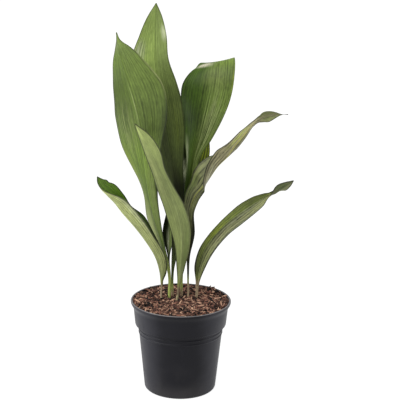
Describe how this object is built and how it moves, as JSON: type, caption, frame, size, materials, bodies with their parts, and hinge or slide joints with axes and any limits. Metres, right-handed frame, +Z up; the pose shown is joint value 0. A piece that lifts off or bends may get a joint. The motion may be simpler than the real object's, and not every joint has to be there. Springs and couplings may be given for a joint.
{
  "type": "potted cast iron plant",
  "caption": "House plant with long upright and arching strap-like leaves on a creeping rhizome, in bark compost in a plain round nursery pot with a collar and a flared lip.",
  "frame": {"origin": "middle of the pot's flat base, on the surface it stands on", "axes": "+Z up along the pot's axis; -Y is the plant's front, and its leaves spread widest along X"},
  "size_m": [0.2788, 0.2275, 0.5726],
  "materials": {
    "pot_plastic": "satin",
    "bark_compost": "matte",
    "rootstock": "matte",
    "leaf_sheath": "satin",
    "leaf_green": "satin",
    "leaf_pale": "satin",
    "leaf_dark": "satin"
  },
  "bodies": {
    "root": {"pot": "pot_plastic", "soil": "bark_compost", "rhizome": "rootstock", "new_shoot": "leaf_sheath", "leaf_broad_left": "leaf_green", "leaf_tall_back": "leaf_green", "leaf_front_middle": "leaf_pale", "leaf_upright_right": "leaf_green", "leaf_arching_left": "leaf_pale", "leaf_rear": "leaf_dark", "leaf_twisted_right": "leaf_pale", "leaf_arching_right": "leaf_green"}
  },
  "joints": []
}
